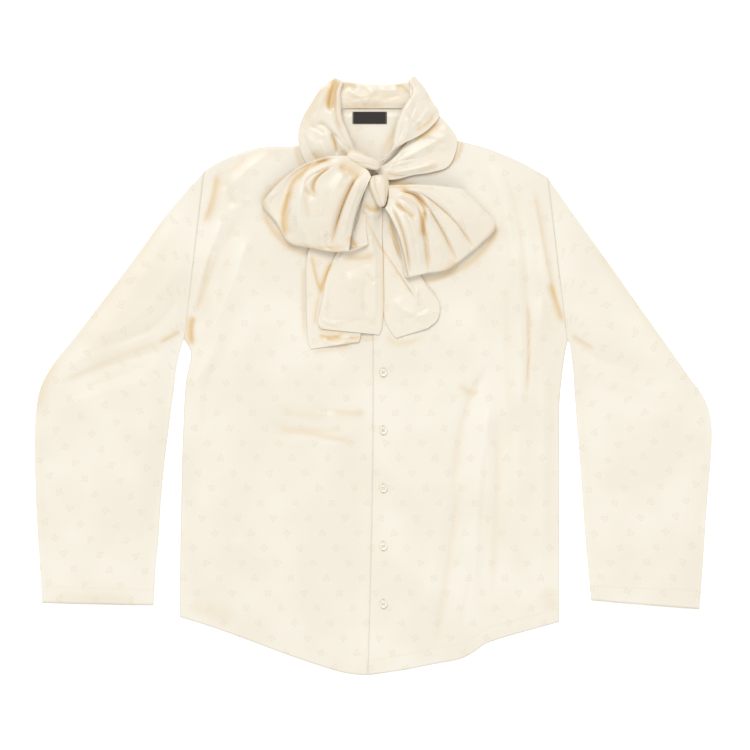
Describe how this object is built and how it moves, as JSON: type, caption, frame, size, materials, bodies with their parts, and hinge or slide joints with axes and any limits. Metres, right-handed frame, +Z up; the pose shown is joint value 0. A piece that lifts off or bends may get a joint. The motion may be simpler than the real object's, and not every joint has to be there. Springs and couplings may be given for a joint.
{
  "type": "blouse",
  "caption": "Long-sleeved satin blouse laid flat, with a tall folded tie collar knotted in a bow, a buttoned front and a curved hem.",
  "frame": {"origin": "under the middle of the garment's outline, on the surface that it lies on", "axes": "+X to the wearer's left across both sleeves, +Y from the hem towards the collar, +Z up from the surface"},
  "size_m": [0.9495, 0.8387, 0.0367],
  "materials": {
    "silk": "cream satin with a tonal woven motif",
    "button": "polished, pearly cream",
    "label": "matt black-brown woven tape, blank"
  },
  "bodies": {
    "root": {"back": "silk", "front_right": "silk", "front_left": "silk", "sleeve_right": "silk", "sleeve_left": "silk", "collar_band": "silk", "collar_right": "silk", "collar_left": "silk", "tie_wrap_left": "silk", "tail_left": "silk", "tail_right": "silk", "tail_right_under": "silk", "bow_loop_right": "silk", "bow_loop_left": "silk", "tie_crossing": "silk", "bow_knot": "silk", "neck_label": "label", "button_1": "button", "button_2": "button", "button_3": "button", "button_4": "button", "button_5": "button"}
  },
  "joints": []
}
